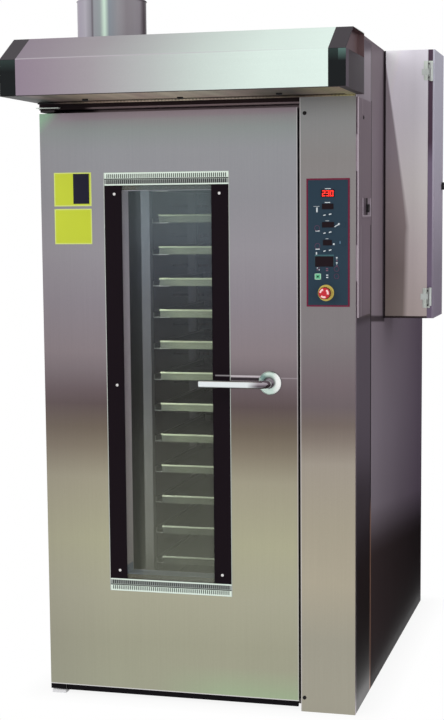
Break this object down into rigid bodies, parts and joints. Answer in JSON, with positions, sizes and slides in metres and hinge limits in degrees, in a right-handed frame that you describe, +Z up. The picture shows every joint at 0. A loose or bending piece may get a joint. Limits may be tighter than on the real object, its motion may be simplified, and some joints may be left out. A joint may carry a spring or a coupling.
{
  "type": "rotating rack oven",
  "caption": "Upright insulated baking oven with a glazed pivoting door, lever latch, steam canopy, flue, service column, side switchgear cabinet and a driven tray rack inside.",
  "frame": {"origin": "on the floor, under the middle of the oven's body", "axes": "+Z up; the door faces -Y; +X is to the right of someone who faces the door"},
  "size_m": [1.3019, 1.968, 2.621],
  "materials": {
    "zinc_steel": "zinc-plated steel, satin",
    "panel_steel": "brushed stainless steel",
    "door_steel": "brushed stainless steel",
    "hood_steel": "brushed stainless steel",
    "chamber_steel": "mill-finish stainless steel",
    "rack_steel": "satin stainless steel",
    "vent_steel": "bright stainless steel",
    "heater_steel": "dull, heat-coloured steel",
    "tray_alu": "matt, baked-on surface",
    "chrome": "polished chrome",
    "mineral_wool": "fibrous mineral wool",
    "window_glass": "clear tempered glass",
    "lamp_glass": "ribbed clear glass",
    "strip_black": "black enamel",
    "cap_black": "black enamel",
    "bezel_red": "crimson print",
    "panel_blue": "dark blue print",
    "display_dark": "smoked display window",
    "key_green": "embossed key pads",
    "stop_yellow": "yellow ring",
    "stop_red": "red moulded plastic",
    "plastic_black": "black moulded plastic",
    "equipment_grey": "light grey moulded plastic",
    "motor_grey": "grey-blue enamel",
    "seal_red": "silicone rubber",
    "rubber_black": "black rubber",
    "wheel_black": "heat-proof tread",
    "lock_black": "dark lacquered zinc"
  },
  "bodies": {
    "cabinet": {"base_frame": "zinc_steel", "left_panel": "panel_steel", "right_panel": "panel_steel", "rear_panel": "panel_steel", "roof_panel": "panel_steel", "front_frame": "panel_steel", "insulation": "mineral_wool", "liner_sides": "chamber_steel", "liner_ends": "chamber_steel", "air_wall": "chamber_steel", "column_shell": "door_steel", "control_bezel": "bezel_red", "control_plate": "panel_blue", "control_displays": "display_dark", "control_keys": "key_green", "stop_collar": "stop_yellow", "hood_canopy": "hood_steel", "hood_end_caps": "cap_black", "hood_underside": "hood_steel", "flue_collar": "zinc_steel", "flue_pipe": "zinc_steel", "ebox_shell": "panel_steel", "ebox_equipment": "equipment_grey", "pivot_brackets": "zinc_steel", "latch_keeper": "zinc_steel", "rack_gearmotor": "motor_grey", "fan_motor": "motor_grey", "heating_elements": "heater_steel", "chamber_lamp": "lamp_glass", "door_gasket": "seal_red"},
    "door": {"door_skin": "door_steel", "door_liner": "chamber_steel", "door_core": "mineral_wool", "door_pivots": "zinc_steel", "door_sweep": "rubber_black", "window_glass_outer": "window_glass", "window_glass_inner": "window_glass", "window_strips": "strip_black", "window_vents": "vent_steel", "handle_rosette": "chrome"},
    "handle": {"lever_handle": "chrome", "latch_tongue": "zinc_steel"},
    "rack": {"rack_carrier": "rack_steel", "rack_frame": "rack_steel", "rack_rails": "rack_steel", "trays": "tray_alu"},
    "castor_left": {"castor_fork_left": "zinc_steel"},
    "castor_right": {"castor_fork_right": "zinc_steel"},
    "wheel_fl": {"wheel_front_left": "wheel_black"},
    "wheel_fr": {"wheel_front_right": "wheel_black"},
    "wheel_rl": {"wheel_rear_left": "wheel_black"},
    "wheel_rr": {"wheel_rear_right": "wheel_black"},
    "fan": {"fan_wheel": "rack_steel"},
    "stop_stem": {"stop_plunger": "plastic_black"},
    "stop_button": {"stop_head": "stop_red"},
    "ebox_door": {"ebox_door": "panel_steel"},
    "ebox_lock": {"ebox_lock": "lock_black"},
    "side_cover": {"side_cover": "panel_steel"},
    "cover_lock": {"cover_lock": "lock_black"}
  },
  "joints": [
    {"name": "door_swing", "type": "hinge", "parent": "cabinet", "child": "door", "pos_m": [-0.525, -0.79, 1.0425], "axis": [0, 0, -1], "range_deg": [0, 120]},
    {"name": "handle_turn", "type": "hinge", "parent": "door", "child": "handle", "pos_m": [0.26, -0.82, 1.134], "axis": [0, -1, 0], "range_deg": [0, 90]},
    {"name": "rack_turn", "type": "hinge", "parent": "cabinet", "child": "rack", "pos_m": [-0.006, -0.3027, 2.0886], "axis": [0, 0, 1], "continuous": true},
    {"name": "castor_left_swivel", "type": "hinge", "parent": "rack", "child": "castor_left", "pos_m": [-0.195, -0.5507, 0.188], "axis": [0, 0, 1], "continuous": true},
    {"name": "castor_right_swivel", "type": "hinge", "parent": "rack", "child": "castor_right", "pos_m": [0.183, -0.5507, 0.188], "axis": [0, 0, 1], "continuous": true},
    {"name": "wheel_fl_spin", "type": "hinge", "parent": "castor_left", "child": "wheel_fl", "pos_m": [-0.195, -0.5227, 0.118], "axis": [1, 0, 0], "continuous": true},
    {"name": "wheel_fr_spin", "type": "hinge", "parent": "castor_right", "child": "wheel_fr", "pos_m": [0.183, -0.5227, 0.118], "axis": [1, 0, 0], "continuous": true},
    {"name": "wheel_rl_spin", "type": "hinge", "parent": "rack", "child": "wheel_rl", "pos_m": [-0.195, -0.0547, 0.118], "axis": [1, 0, 0], "continuous": true},
    {"name": "wheel_rr_spin", "type": "hinge", "parent": "rack", "child": "wheel_rr", "pos_m": [0.183, -0.0547, 0.118], "axis": [1, 0, 0], "continuous": true},
    {"name": "fan_spin", "type": "hinge", "parent": "cabinet", "child": "fan", "pos_m": [-0.006, 0.43865, 2.0886], "axis": [0, 0, 1], "continuous": true},
    {"name": "stop_push", "type": "slide", "parent": "cabinet", "child": "stop_stem", "axis": [0, 1, 0], "range_m": [0, 0.006], "stiffness_N_per_m": 400},
    {"name": "stop_twist", "type": "hinge", "parent": "stop_stem", "child": "stop_button", "pos_m": [0.45298, -0.835, 1.439], "axis": [0, 1, 0], "range_deg": [0, 45], "stiffness_Nm_per_rad": 0.05},
    {"name": "ebox_door_swing", "type": "hinge", "parent": "cabinet", "child": "ebox_door", "pos_m": [0.7231, -0.2523, 1.8], "axis": [0, 0, -1], "range_deg": [0, 110]},
    {"name": "ebox_lock_turn", "type": "hinge", "parent": "ebox_door", "child": "ebox_lock", "pos_m": [0.7116, -0.02, 1.8], "axis": [-1, 0, 0], "range_deg": [0, 90]},
    {"name": "side_cover_swing", "type": "hinge", "parent": "cabinet", "child": "side_cover", "pos_m": [0.5558, -0.804, 1.7175], "axis": [0, 0, -1], "range_deg": [0, 100]},
    {"name": "cover_lock_turn", "type": "hinge", "parent": "side_cover", "child": "cover_lock", "pos_m": [0.5523, -0.63756, 1.7175], "axis": [-1, 0, 0], "range_deg": [0, 90]}
  ]
}
